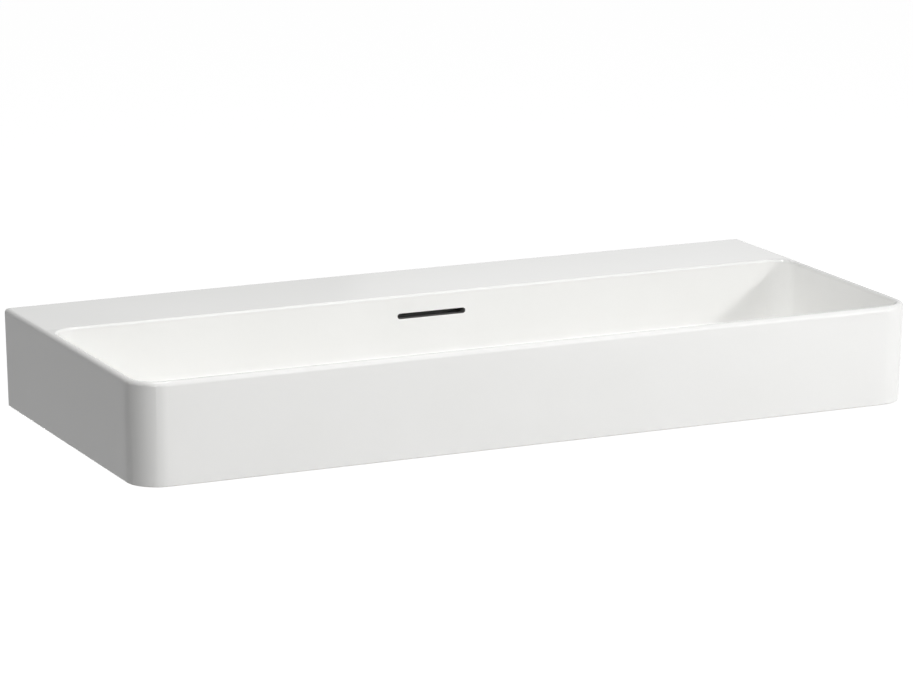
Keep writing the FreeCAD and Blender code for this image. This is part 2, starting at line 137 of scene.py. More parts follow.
class Graph:
    """Builder of one node tree, for shaders and for geometry alike."""

    def __init__(self, tree: bpy.types.NodeTree) -> None:
        """Take over a node tree and empty it."""
        self.tree = tree
        tree.nodes.clear()

    def add(self, kind: str, settings: dict[str, Any] | None = None,
            sockets: dict[str | int, Feed] | None = None, output: str | int = 0) -> Wire:
        """Add a node, set it up, and feed its sockets.

        Args:
            kind: Blender's type name of the node.
            settings: Properties that are set first. "stops" are a ramp's (position, colour) pairs.
            sockets: Input sockets, by name or number, with a value or a wire for each.
            output: The output socket that is returned.

        Returns:
            The chosen output, or a wire with no socket for a node that has none.
        """
        node = self.tree.nodes.new(kind)
        for name, value in (settings or {}).items():
            if name == "stops":
                self._fill_ramp(node.color_ramp, value)
            else:
                setattr(node, name, value)
        for name, value in (sockets or {}).items():
            if isinstance(value, Wire):
                self.tree.links.new(value.socket, node.inputs[name])
            else:
                node.inputs[name].default_value = value
        return Wire(self, node.outputs[output] if len(node.outputs) else None)

    @staticmethod
    def _fill_ramp(ramp: bpy.types.ColorRamp, stops: Sequence[tuple[float, Colour]]) -> None:
        """Give a colour ramp its stops.

        Args:
            ramp: The ramp.
            stops: Position and colour of each stop.
        """
        while len(ramp.elements) < len(stops):
            ramp.elements.new(1.0)
        for element, (position, colour) in zip(ramp.elements, stops):
            element.position = position
            element.color = (*colour, 1.0)

    def part(self, wire: Wire, name: str) -> Wire:
        """Another output of the node that a wire comes from."""
        return Wire(self, wire.socket.node.outputs[name])

    def blend(self, factor: Feed, low: Feed, high: Feed) -> Wire:
        """Two colours with alpha mixed, where a factor of 0 gives low and 1 gives high."""
        return self.add("ShaderNodeMix", {"data_type": "RGBA"}, {0: factor, 6: low, 7: high}, 2)

    def tint(self, factor: Feed, colour: Feed, share: float) -> Wire:
        """A colour made darker where a factor is 1, down to a share of itself."""
        return self.add("ShaderNodeMix", {"data_type": "RGBA", "blend_type": "MULTIPLY"},
                        {0: factor, 6: colour, 7: (share, share, share, 1.0)}, 2)

    def maths(self, operation: str, first: Feed, second: Feed = 0.0) -> Wire:
        """One Math node, which the operators of a wire use too."""
        return self.add("ShaderNodeMath", {"operation": operation}, {0: first, 1: second})

    def axes(self, place: Wire) -> tuple[Wire, Wire, Wire]:
        """The three numbers of a place."""
        x = self.add("ShaderNodeSeparateXYZ", None, {0: place}, "X")
        return x, self.part(x, "Y"), self.part(x, "Z")

    def ease(self, value: Feed, start: Feed, end: Feed, low: float = 0.0, high: float = 1.0) -> Wire:
        """A smooth step from low, where a value is start, to high, where it is end."""
        return self.add("ShaderNodeMapRange", {"interpolation_type": "SMOOTHSTEP"},
                        {"Value": value, "From Min": start, "From Max": end, "To Min": low, "To Max": high})


def rgba(colour: Colour) -> tuple[float, float, float, float]:
    """A colour with full alpha."""
    return (*colour, 1.0)


class Surface(Graph):
    """Shader tree of one material, with the pieces that every finish here uses."""

    def __init__(self, name: str) -> None:
        """Make a new material.

        Args:
            name: The material's name.
        """
        self.material = bpy.data.materials.new(name)
        self.material.use_nodes = True
        super().__init__(self.material.node_tree)
        self.place = self.add("ShaderNodeTexCoord", output="Object")

    def around(self, centre: Point) -> Wire:
        """Object coordinates counted from a centre."""
        return self.add("ShaderNodeMapping", None,
                        {"Vector": self.place, "Location": tuple(-v for v in centre)})

    def noise(self, scale: float, detail: float = 2.0, place: Wire | None = None,
              stretch: Point | None = None) -> Wire:
        """Soft noise between 0 and 1.

        Args:
            scale: Cells per metre.
            detail: Number of finer layers.
            place: Coordinates, or None for the object's own.
            stretch: Scale of the coordinates along each axis.

        Returns:
            The noise value.
        """
        where = place or self.place
        if stretch:
            where = self.add("ShaderNodeMapping", None, {"Vector": where, "Scale": stretch})
        return self.add("ShaderNodeTexNoise", None, {"Vector": where, "Scale": scale, "Detail": detail})

    def mottle(self, pattern: Wire, start: float, end: float, low: Colour, high: Colour) -> Wire:
        """A colour that changes softly with a pattern, from low at its start to high at its end."""
        return self.blend(self.ease(pattern, start, end), rgba(low), rgba(high))

    def bump(self, height: Feed, distance: float, strength: float = 1.0,
             onto: Wire | None = None) -> Wire:
        """Relief from a height.

        Args:
            height: Height between 0 and 1.
            distance: Depth of a full step, in metres.
            strength: Share of the relief.
            onto: A relief to add this one to.

        Returns:
            The normal.
        """
        sockets: dict[str | int, Feed] = {"Height": height, "Distance": distance, "Strength": strength}
        if onto:
            sockets["Normal"] = onto
        return self.add("ShaderNodeBump", None, sockets)

    def close(self, **sockets: Feed) -> bpy.types.Material:
        """End the tree in one principled shader.

        Args:
            **sockets: Socket names with underscores for spaces, and their values or wires.

        Returns:
            The finished material.
        """
        named: dict[str | int, Feed] = {name.replace("_", " "): value for name, value in sockets.items()}
        shader = self.add("ShaderNodeBsdfPrincipled", None, named)
        self.add("ShaderNodeOutputMaterial", None, {"Surface": shader})
        return self.material


@dataclass(frozen=True)
class GlazedCeramic:
    """White glaze over a cast body, bare on the foot and at the wall, with painted shade on the rim's round
    edges and dark painted shade inside the overflow duct, which is dull like the bare body.
    """

    glaze: Colour = (0.925, 0.924, 0.908)
    # Share of the glaze colour left on the rim's round edges: painted shade that tones down their highlight.
    glaze_shade: Colour = (0.912, 0.911, 0.894)
    rim_painted_shade: float = 0.93
    bisque: Colour = (0.79, 0.76, 0.70)
    bisque_shade: Colour = (0.70, 0.665, 0.60)
    # Painted shade: dark grey inside the overflow slot and its duct.
    duct_painted_shade: Colour = (0.20, 0.20, 0.195)
    glaze_roughness: float = 0.045
    bisque_roughness: float = 0.85
    foot_level: float = -53.9 * MM
    foot_fade: float = 0.7 * MM
    foot_ragged: float = 0.9 * MM
    wall_plane: float = -0.25 * MM
    wall_fade: float = 0.2 * MM
    wall_ragged: float = 0.3 * MM
    cloud_scale: float = 7.0
    gloss_scale: float = 18.0
    ragged_scale: float = 260.0
    wave_scale: float = 16.0
    wave_depth: float = 0.10 * MM
    peel_scale: float = 240.0
    peel_depth: float = 0.006 * MM
    grain_scale: float = 1400.0
    grain_depth: float = 0.12 * MM
    rim_front: float = DECK_FRONT - 0.5 * MM
    rim_round: float = 3 * MM
    rim_low: float = RIM_Z - 5.0 * MM
    rim_high: float = RIM_Z - 1.5 * MM
    side_rim: float = 471.5 * MM
    lip_depth: float = 0.65 * MM
    duct_back: float = -108.8 * MM
    duct_half_width: float = 45 * MM
    duct_top: float = 46 * MM
    duct_bottom: float = -26 * MM

    def build(self) -> bpy.types.Material:
        """Make the material.

        Returns:
            The material.
        """
        surface = Surface("glazed_ceramic")
        x, y, z = surface.axes(surface.place)
        aside = surface.maths("ABSOLUTE", x)
        cloud = surface.noise(self.cloud_scale, 3.0)
        grain = surface.noise(self.grain_scale)
        ragged = surface.noise(self.ragged_scale, 3.0)
        foot = surface.ease(z + (ragged - 0.5) * self.foot_ragged, self.foot_level,
                            self.foot_level - self.foot_fade)
        wall = surface.ease(y + (ragged - 0.5) * self.wall_ragged, self.wall_plane,
                            self.wall_plane + self.wall_fade)
        bare = surface.maths("MAXIMUM", foot, wall)
        duct = self._duct(surface, aside, y, z)
        glaze = surface.mottle(cloud, 0.35, 0.65, self.glaze_shade, self.glaze)
        # Painted shade: the glaze is darkened on the rim's round edges.
        glaze = surface.tint(self._rim_painted_shade_mask(surface, aside, y, z), glaze, self.rim_painted_shade)
        bisque = surface.mottle(grain, 0.3, 0.7, self.bisque_shade, self.bisque)
        roughness = surface.ease(surface.noise(self.gloss_scale), 0.3, 0.7,
                                 self.glaze_roughness * 0.8, self.glaze_roughness * 1.25)
        waves = surface.bump(surface.noise(self.wave_scale, 1.0), self.wave_depth, 0.5)
        peel = surface.bump(surface.noise(self.peel_scale, 1.0), self.peel_depth, 0.5, waves)
        relief = surface.bump(grain * bare, self.grain_depth, 0.8, peel)
        dull = surface.maths("MAXIMUM", bare, duct)
        # Painted shade: the overflow duct's inside is coloured dark grey over the glaze and the bare body.
        return surface.close(
            Base_Color=surface.blend(duct, surface.blend(bare, glaze, bisque), rgba(self.duct_painted_shade)),
            Roughness=roughness * (1 - dull) + self.bisque_roughness * dull,
            Normal=relief, IOR=1.52)

    def _rim_painted_shade_mask(self, surface: Surface, aside: Wire, y: Wire, z: Wire) -> Wire:
        """The round edges of the rim and of the deck, which are painted darker as shade to tone down their
        highlight.

        Args:
            surface: The tree to add to.
            aside: Distance from the middle plane.
            y, z: Object coordinates.

        Returns:
            1 on those edges, else 0.
        """
        front = surface.ease(y, self.rim_front + self.rim_round, self.rim_front)
        side = surface.ease(aside, self.side_rim - self.rim_round, self.side_rim)
        high = surface.ease(z, self.rim_low, self.rim_high)
        return high * surface.maths("MAXIMUM", front, side)

    def _duct(self, surface: Surface, aside: Wire, y: Wire, z: Wire) -> Wire:
        """The overflow, from just behind the lip of its slot to the back of its duct, where shade is painted
        and the glaze is dull.

        Args:
            surface: The tree to add to.
            aside: Distance from the middle plane.
            y, z: Object coordinates.

        Returns:
            1 inside it, else 0.
        """
        behind = y - DECK_FRONT + (RIM_Z - z) * BOWL_DRAFT
        inside = surface.ease(behind, self.lip_depth * 0.6, self.lip_depth * 1.4)
        for value, edge in ((y, self.duct_back), (aside, self.duct_half_width), (z, self.duct_top)):
            inside = inside * surface.maths("LESS_THAN", value, edge)
        return inside * surface.maths("GREATER_THAN", z, self.duct_bottom)


@dataclass(frozen=True)
class ChromePlate:
    """Polished chrome with faint polishing marks and dull spots."""

    name: str = "chrome_plate"
    tone: Colour = (0.80, 0.81, 0.82)
    shade: Colour = (0.74, 0.75, 0.77)
    roughness: float = 0.07
    spot_scale: float = 55.0
    mark_scale: float = 900.0
    mark_stretch: Point = (1.0, 0.08, 1.0)
    mark_depth: float = 0.004 * MM

    def build(self) -> bpy.types.Material:
        """Make the material.

        Returns:
            The material.
        """
        surface = Surface(self.name)
        local = surface.around(WASTE_AXIS)
        spots = surface.noise(self.spot_scale, 3.0, local)
        marks = surface.noise(self.mark_scale, 2.0, local, self.mark_stretch)
        colour = surface.mottle(spots, 0.4, 0.7, self.tone, self.shade)
        rough = surface.ease(spots, 0.35, 0.75, self.roughness * 0.8, self.roughness * 1.6)
        return surface.close(Base_Color=colour, Metallic=1.0, Roughness=rough + marks * 0.02,
                             Normal=surface.bump(marks, self.mark_depth, 0.5))


@dataclass(frozen=True)
class TurnedMetal:
    """Metal turned on a lathe about the waste's axis, with rings of tool marks and some tarnish."""

    name: str
    tone: Colour
    tarnish: Colour
    roughness: float = 0.26
    ring_scale: float = 2700.0
    ring_depth: float = 0.02 * MM
    stain_scale: float = 60.0

    def build(self) -> bpy.types.Material:
        """Make the material.

        Returns:
            The material.
        """
        surface = Surface(self.name)
        local = surface.around(WASTE_AXIS)
        x, y, z = surface.axes(local)
        radius = surface.maths("SQRT", x * x + y * y)
        rings = surface.add("ShaderNodeTexNoise", {"noise_dimensions": "1D"},
                            {"W": radius + z, "Scale": self.ring_scale, "Detail": 2.0})
        stain = surface.noise(self.stain_scale, 4.0, local)
        colour = surface.mottle(stain, 0.45, 0.72, self.tone, self.tarnish)
        rough = surface.ease(stain, 0.4, 0.75, self.roughness, self.roughness * 1.7)
        return surface.close(Base_Color=colour, Metallic=1.0, Roughness=rough + rings * 0.06,
                             Normal=surface.bump(rings, self.ring_depth, 0.6))


@dataclass(frozen=True)
class MouldedRubber:
    """Matt moulded rubber with bloom in patches."""

    name: str
    tone: Colour = (0.035, 0.035, 0.037)
    bloom: Colour = (0.075, 0.075, 0.078)
    roughness: float = 0.62
    patch_scale: float = 45.0
    grain_scale: float = 2600.0
    grain_depth: float = 0.03 * MM

    def build(self) -> bpy.types.Material:
        """Make the material.

        Returns:
            The material.
        """
        surface = Surface(self.name)
        patches = surface.noise(self.patch_scale, 4.0)
        grain = surface.noise(self.grain_scale)
        colour = surface.mottle(patches, 0.35, 0.8, self.tone, self.bloom)
        rough = surface.ease(patches, 0.3, 0.7, self.roughness * 0.9, self.roughness * 1.2)
        return surface.close(Base_Color=colour, Roughness=rough, IOR=1.5,
                             Normal=surface.bump(grain, self.grain_depth, 0.6))


@dataclass(frozen=True)
class MouldedPlastic:
    """Injection-moulded plastic with a fine spark-eroded grain."""

    name: str
    tone: Colour
    shade: Colour
    roughness: float = 0.42
    gloss_depth: float = 0.06
    flow_scale: float = 38.0
    flow_stretch: Point = (1.0, 1.0, 0.35)
    grain_scale: float = 3200.0
    grain_depth: float = 0.015 * MM

    def build(self) -> bpy.types.Material:
        """Make the material.

        Returns:
            The material.
        """
        surface = Surface(self.name)
        flow = surface.noise(self.flow_scale, stretch=self.flow_stretch)
        grain = surface.noise(self.grain_scale)
        colour = surface.mottle(flow, 0.3, 0.75, self.tone, self.shade)
        rough = surface.ease(flow, 0.3, 0.7, self.roughness - self.gloss_depth,
                             self.roughness + self.gloss_depth)
        return surface.close(Base_Color=colour, Roughness=rough, IOR=1.48,
                             Normal=surface.bump(grain, self.grain_depth, 0.6))


class Finish(Enum):
    """The finishes of this object, each built once."""

    CERAMIC = GlazedCeramic()
    CHROME = ChromePlate()
    BRASS = TurnedMetal("machined_brass", (0.74, 0.56, 0.27), (0.55, 0.38, 0.16))
    STEEL = TurnedMetal("stainless_steel", (0.62, 0.62, 0.63), (0.50, 0.50, 0.51), 0.22, 4500.0)
    BLACK_RUBBER = MouldedRubber("black_rubber")
    SEAL_RUBBER = MouldedRubber("seal_rubber", (0.075, 0.075, 0.078), (0.11, 0.11, 0.115), 0.5)
    WHITE_PLASTIC = MouldedPlastic("white_plastic", (0.84, 0.84, 0.82), (0.79, 0.79, 0.76))
    GREY_PLASTIC = MouldedPlastic("grey_plastic", (0.52, 0.53, 0.54), (0.47, 0.48, 0.49), 0.38)
    CAM_PLASTIC = MouldedPlastic("natural_plastic", (0.80, 0.79, 0.75), (0.73, 0.72, 0.67), 0.36)


class Palette:
    """Materials of the scene, made when they are first asked for."""

    def __init__(self) -> None:
        """Start with no material."""
        self._made: dict[Finish, bpy.types.Material] = {}

    def __getitem__(self, finish: Finish) -> bpy.types.Material:
        """The material of a finish.

        Args:
            finish: The finish.

        Returns:
            Its material, the same one each time.
        """
        if finish not in self._made:
            self._made[finish] = finish.value.build()
        return self._made[finish]


def dress(obj: bpy.types.Object, material: bpy.types.Material) -> None:
    """Give a whole object one material.

    Args:
        obj: The object, a CAD node or a piece.
        material: Its material.
    """
    if not obj.material_slots:
        obj.data.materials.append(material)
    for slot in obj.material_slots:
        slot.material = material


def make_object(name: str, mesh: bpy.types.Mesh) -> bpy.types.Object:
    """Put a mesh into the scene as an object at the origin.

    Args:
        name: Name of the object.
        mesh: Its mesh.

    Returns:
        The object.
    """
    obj = bpy.data.objects.new(name, mesh)
    bpy.context.scene.collection.objects.link(obj)
    return obj


def merged_copy(node: bpy.types.Object) -> bmesh.types.BMesh:
    """A CAD node's surface with its triangles joined, as an editable mesh.

    Args:
        node: The CAD node's object, which isn't changed.

    Returns:
        The merged copy.
    """
    bm = bmesh.new()
    bm.from_mesh(node.data)
    bmesh.ops.remove_doubles(bm, verts=bm.verts, dist=WELD)
    return bm


def finish_mesh(bm: bmesh.types.BMesh, name: str, smooth_deg: float) -> bpy.types.Mesh:
    """Turn an edited mesh into a mesh block, smooth apart from its sharp edges.

    Args:
        bm: The edited mesh, which is freed.
        name: Name of the mesh block.
        smooth_deg: Edges that bend more than this stay sharp.

    Returns:
        The mesh block.
    """
    limit = math.radians(smooth_deg)
    for face in bm.faces:
        face.smooth = True
    for edge in bm.edges:
        edge.smooth = len(edge.link_faces) == 2 and edge.calc_face_angle(0.0) < limit
    mesh = bpy.data.meshes.new(name)
    bm.to_mesh(mesh)
    bm.free()
    return mesh


def editable(mesh: bpy.types.Mesh) -> bmesh.types.BMesh:
    """Open a mesh block for editing.

    Args:
        mesh: The mesh block, which is removed.

    Returns:
        The editable mesh.
    """
    bm = bmesh.new()
    bm.from_mesh(mesh)
    bpy.data.meshes.remove(mesh)
    return bm


def even_shading(obj: bpy.types.Object) -> None:
    """Weight the normals by face area, so that flat faces stay flat beside their round edges.

    Args:
        obj: The piece.
    """
    modifier = obj.modifiers.new("even_shading", "WEIGHTED_NORMAL")
    modifier.mode = "FACE_AREA"
    modifier.weight = SHADING_WEIGHT
    modifier.keep_sharp = True


@dataclass
class Assembly:
    """A sub-assembly of the basin, with the finishes and the frame that it is built from."""

    palette: Palette
    frame: dict[str, Any]

    def _dress_nodes(self, finishes: dict[str, Finish]) -> None:
        """Give CAD nodes that stay as they are their finishes."""
        for node, finish in finishes.items():
            dress(self.frame["nodes"][node], self.palette[finish])

    def _piece(self, mesh: bpy.types.Mesh, finish: Finish, body: str, slot: str,
               *nodes: str) -> bpy.types.Object:
        """Make a piece that is named after its mesh, hang it on its body, hide the CAD nodes it stands for
        and log it.

        Args:
            mesh: The piece's mesh, with its place in it.
            finish: The piece's finish.
            body: The CAD body that it rides on.
            slot: The record's material slot; not used.
            *nodes: CAD nodes that it stands for.

        Returns:
            The piece.
        """
        piece = make_object(mesh.name, mesh)
        dress(piece, self.palette[finish])
        if nodes:
            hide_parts(*nodes)
        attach(piece, body)
        LOG.info("%s rides on %s, for %s", piece.name, body, ", ".join(nodes) or "itself")
        return piece


@dataclass
class BasinCasting(Assembly):
    """The ceramic casting, as a finely divided skin over the CAD solid's own surface."""

    cell: float = 24 * MM
    merge_angle_deg: float = 0.4
    smooth_deg: float = 32.0
    crown: float = 0.4 * MM
    bowl_front: float = -411 * MM
    bowl_half_width: float = 466 * MM
    bowl_depth: float = 87 * MM
    bowl_corner: float = 27 * MM
    lean_start: float = 50 * MM
    lean: float = 2.2 * MM
    lean_reach: float = 45 * MM
    lean_row: float = 2.5 * MM
    wall_tolerance: float = 0.5 * MM
    least: float = 1e-6

    def build(self) -> None:
        """Make the casting's piece."""
        bm = merged_copy(self.frame["nodes"]["basin_body"])
        bmesh.ops.dissolve_limit(bm, angle_limit=math.radians(self.merge_angle_deg),
                                 verts=bm.verts, edges=bm.edges, use_dissolve_boundaries=False)
        low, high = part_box("basin_body")
        for axis in range(3):
            self._slice(bm, axis, low[axis], high[axis])
        self._lean_walls(bm)
        self._crown(bm, high.x)
        mesh = finish_mesh(bm, "basin_casting", self.smooth_deg)
        even_shading(self._piece(mesh, Finish.CERAMIC, "basin", "ceramic", "basin_body"))

    def _slice(self, bm: bmesh.types.BMesh, axis: int, low: float, high: float) -> None:
        """Cut the surface along even planes across one axis, so that its cells stay small.

        Args:
            bm: The surface.
            axis: Number of the axis.
            low: Where the surface starts on it.
            high: Where the surface ends on it.
        """
        count = max(1, round((high - low) / self.cell))
        for number in range(1, count):
            self._cut(bm, axis, low + (high - low) * number / count)

    @staticmethod
    def _cut(bm: bmesh.types.BMesh, axis: int, level: float) -> None:
        """Cut the surface along one plane across an axis.

        Args:
            bm: The surface.
            axis: Number of the axis.
            level: The plane's place on it.
        """
        normal = Vector((0.0, 0.0, 0.0))
        normal[axis] = 1.0
        bmesh.ops.bisect_plane(bm, geom=[*bm.verts, *bm.edges, *bm.faces], dist=CUT_TOLERANCE,
                               plane_co=normal * level, plane_no=normal)

    def _lean_walls(self, bm: bmesh.types.BMesh) -> None:
        """Lean the foot of the bowl's walls inwards, so that they run into its floor in one soft curve.

        Args:
            bm: The surface.
        """
        rows = round((self.bowl_depth - self.lean_start) / 2 / self.lean_row)
        for number in range(rows + 1):
            self._cut(bm, 2, RIM_Z - self.lean_start - number * self.lean_row)
        for vert in bm.verts:
            depth = RIM_Z - vert.co.z
            if not self.lean_start < depth < self.bowl_depth + self.wall_tolerance:
                continue
            away, inward = self._from_wall(vert.co, depth)
            if away < -self.wall_tolerance:
                continue
            share = self._soft((depth - self.lean_start) / (self.bowl_depth - self.lean_start))
            vert.co += inward * self.lean * share * (1 - self._soft(away / self.lean_reach))

    def _from_wall(self, place: Vector, depth: float) -> tuple[float, Vector]:
        """How far a point is inside the bowl's wall.

        Args:
            place: The point.
            depth: Its depth below the rim.

        Returns:
            The distance to the wall, negative outside the bowl, and the direction away from the wall.
        """
        inset = depth * BOWL_DRAFT
        middle = (DECK_FRONT + self.bowl_front) / 2
        half = (self.bowl_half_width - inset, (DECK_FRONT - self.bowl_front) / 2 - inset)
        side = (place.x, place.y - middle)
        past = [abs(side[axis]) - half[axis] + self.bowl_corner for axis in range(2)]
        if min(past) > 0:
            out = Vector((math.copysign(past[0], side[0]), math.copysign(past[1], side[1]), 0.0))
        elif past[0] > past[1]:
            out = Vector((math.copysign(max(past[0], self.least), side[0]), 0.0, 0.0))
        else:
            out = Vector((0.0, math.copysign(max(past[1], self.least), side[1]), 0.0))
        return self.bowl_corner - (out.length if max(past) > 0 else max(past)), -out.normalized()

    @staticmethod
    def _soft(share: float) -> float:
        """Smooth step from 0 to 1."""
        share = min(1.0, max(0.0, share))
        return share * share * (3 - 2 * share)

    def _crown(self, bm: bmesh.types.BMesh, half_width: float) -> None:
        """Raise the middle of the rear deck and lower its ends, as the kiln leaves it.

        Args:
            bm: The surface.
            half_width: Half the casting's width.
        """
        foot = min(vert.co.z for vert in bm.verts)
        for vert in bm.verts:
            back = self._soft(1 - vert.co.y / DECK_FRONT)
            height = (vert.co.z - foot) / (RIM_Z - foot)
            across = 1 - 2 * (vert.co.x / half_width) ** 2
            vert.co.z += self.crown * across * back * height


class GrowingTree:
    """A geometry node tree with named inputs, which a modifier grows into a piece."""

    NAME = ""
    INPUTS: tuple[tuple[str, str], ...] = ()

    def __init__(self) -> None:
        """Build the tree once."""
        self.tree = bpy.data.node_groups.new(self.NAME, "GeometryNodeTree")
        for name, kind in self.INPUTS:
            self.tree.interface.new_socket(name, in_out="INPUT", socket_type=kind)
        self.tree.interface.new_socket("Geometry", in_out="OUTPUT", socket_type="NodeSocketGeometry")
        graph = Graph(self.tree)
        group = graph.add("NodeGroupInput", output=self.INPUTS[0][0])
        sizes = {name: graph.part(group, name) for name, _ in self.INPUTS}
        real = graph.add("GeometryNodeRealizeInstances", None, {"Geometry": self._shape(graph, sizes)})
        dressed = graph.add("GeometryNodeSetMaterial", None,
                            {"Geometry": real, "Material": sizes["Material"]})
        graph.add("NodeGroupOutput", None, {"Geometry": dressed})

    def _shape(self, graph: Graph, sizes: dict[str, Wire]) -> Wire:
        """The geometry of the shape itself, from the tree's inputs by name."""
        raise NotImplementedError

    def grow(self, name: str, sizes: dict[str, Any]) -> bpy.types.Mesh:
        """Run the tree and return its result as a plain mesh.

        Args:
            name: Name of the mesh.
            sizes: A value for each of the tree's inputs.

        Returns:
            The plain mesh.
        """
        carrier = make_object(name + "_carrier", bpy.data.meshes.new(name + "_carrier"))
        modifier = carrier.modifiers.new("grow", "NODES")
        modifier.node_group = self.tree
        for item in self.tree.interface.items_tree:
            if item.in_out == "INPUT":
                modifier[item.identifier] = sizes[item.name]
        graph = bpy.context.evaluated_depsgraph_get()
        mesh = bpy.data.meshes.new_from_object(carrier.evaluated_get(graph), depsgraph=graph)
        mesh.name = name
        bpy.data.objects.remove(carrier)
        return mesh


class ThreadTree(GrowingTree):
    """Geometry nodes that wind a screw thread round a cylinder."""

    NAME = "screw_thread"
    WHOLE_TURNS = 64.0
    CREST_END = 0.12
    ROOT_START = 0.88
    INPUTS = (("Crest Radius", "NodeSocketFloat"), ("Depth", "NodeSocketFloat"),
              ("Pitch", "NodeSocketFloat"), ("Bottom", "NodeSocketFloat"), ("Height", "NodeSocketFloat"),
              ("Run Out", "NodeSocketFloat"), ("Around", "NodeSocketInt"), ("Rows", "NodeSocketInt"),
              ("Material", "NodeSocketMaterial"))

    def _shape(self, graph: Graph, sizes: dict[str, Wire]) -> Wire:
        """Roll a grid into a tube whose radius follows the thread.

        Args:
            graph: The tree to fill.
            sizes: The tree's inputs by name.

        Returns:
            The tube.
        """
        height = sizes["Height"]
        grid = graph.add("GeometryNodeMeshGrid", None, {
            "Size X": 1.0, "Size Y": 1.0, "Vertices X": sizes["Around"] + 1, "Vertices Y": sizes["Rows"] + 1})
        across, along, _ = graph.axes(graph.add("GeometryNodeInputPosition"))
        turn = across + 0.5
        rise = (along + 0.5) * height
        phase = graph.maths("FRACT", rise / sizes["Pitch"] - turn + self.WHOLE_TURNS)
        flank = graph.maths("ABSOLUTE", phase - 0.5) * 2
        groove = graph.ease(flank, self.CREST_END, self.ROOT_START)
        full = graph.ease(graph.maths("MINIMUM", rise, height - rise), 0.0, sizes["Run Out"])
        radius = sizes["Crest Radius"] - sizes["Depth"] * (groove * full + (1 - full) * 0.5)
        angle = turn * math.tau
        place = graph.add("ShaderNodeCombineXYZ", None, {
            "X": graph.maths("COSINE", angle) * radius,
            "Y": graph.maths("SINE", angle) * radius,
            "Z": sizes["Bottom"] + rise})
        rolled = graph.add("GeometryNodeSetPosition", None, {"Geometry": grid, "Position": place})
        return graph.add("GeometryNodeMergeByDistance", None, {"Geometry": rolled, "Distance": 2 * WELD})


class RibTree(GrowingTree):
    """Geometry nodes that stand small rounded ribs round a collar."""

    NAME = "collar_ribs"
    FLATS = 10
    INPUTS = (("Count", "NodeSocketInt"), ("Radius", "NodeSocketFloat"), ("Rib Radius", "NodeSocketFloat"),
              ("Rib Height", "NodeSocketFloat"), ("Level", "NodeSocketFloat"),
              ("Material", "NodeSocketMaterial"))

    def _shape(self, graph: Graph, sizes: dict[str, Wire]) -> Wire:
        """Stand one rib on each point of a ring.

        Args:
            graph: The tree to fill.
            sizes: The tree's inputs by name.

        Returns:
            The ribs.
        """
        ring = graph.add("GeometryNodeMeshCircle", None,
                         {"Vertices": sizes["Count"], "Radius": sizes["Radius"]})
        lifted = graph.add("GeometryNodeTransform", None, {
            "Geometry": ring, "Translation": graph.add("ShaderNodeCombineXYZ", None, {"Z": sizes["Level"]})})
        rib = graph.add("GeometryNodeMeshCylinder", {"fill_type": "TRIANGLE_FAN"}, {
            "Vertices": self.FLATS, "Side Segments": 1, "Radius": sizes["Rib Radius"],
            "Depth": sizes["Rib Height"]})
        return graph.add("GeometryNodeInstanceOnPoints", None, {"Points": lifted, "Instance": rib})


class CoilTree(GrowingTree):
    """Geometry nodes that wind a spring from round wire."""

    NAME = "wound_coil"
    STEPS_PER_TURN = 36
    WIRE_FLATS = 14
    INPUTS = (("Turns", "NodeSocketFloat"), ("Coil Radius", "NodeSocketFloat"),
              ("Wire Radius", "NodeSocketFloat"), ("Bottom", "NodeSocketFloat"),
              ("Height", "NodeSocketFloat"), ("Material", "NodeSocketMaterial"))

    def _shape(self, graph: Graph, sizes: dict[str, Wire]) -> Wire:
        """Draw a round section along a rising spiral, with flat ends.

        Args:
            graph: The tree to fill.
            sizes: The tree's inputs by name.

        Returns:
            The wire.
        """
        path = graph.add("GeometryNodeCurveSpiral", None, {
            "Resolution": self.STEPS_PER_TURN, "Rotations": sizes["Turns"], "Height": sizes["Height"],
            "Start Radius": sizes["Coil Radius"], "End Radius": sizes["Coil Radius"]})
        section = graph.add("GeometryNodeCurvePrimitiveCircle", None,
                            {"Resolution": self.WIRE_FLATS, "Radius": sizes["Wire Radius"]})
        wire = graph.add("GeometryNodeCurveToMesh", None,
                         {"Curve": path, "Profile Curve": section, "Fill Caps": True})
        return graph.add("GeometryNodeTransform", None, {
            "Geometry": wire, "Translation": graph.add("ShaderNodeCombineXYZ", None, {"Z": sizes["Bottom"]})})


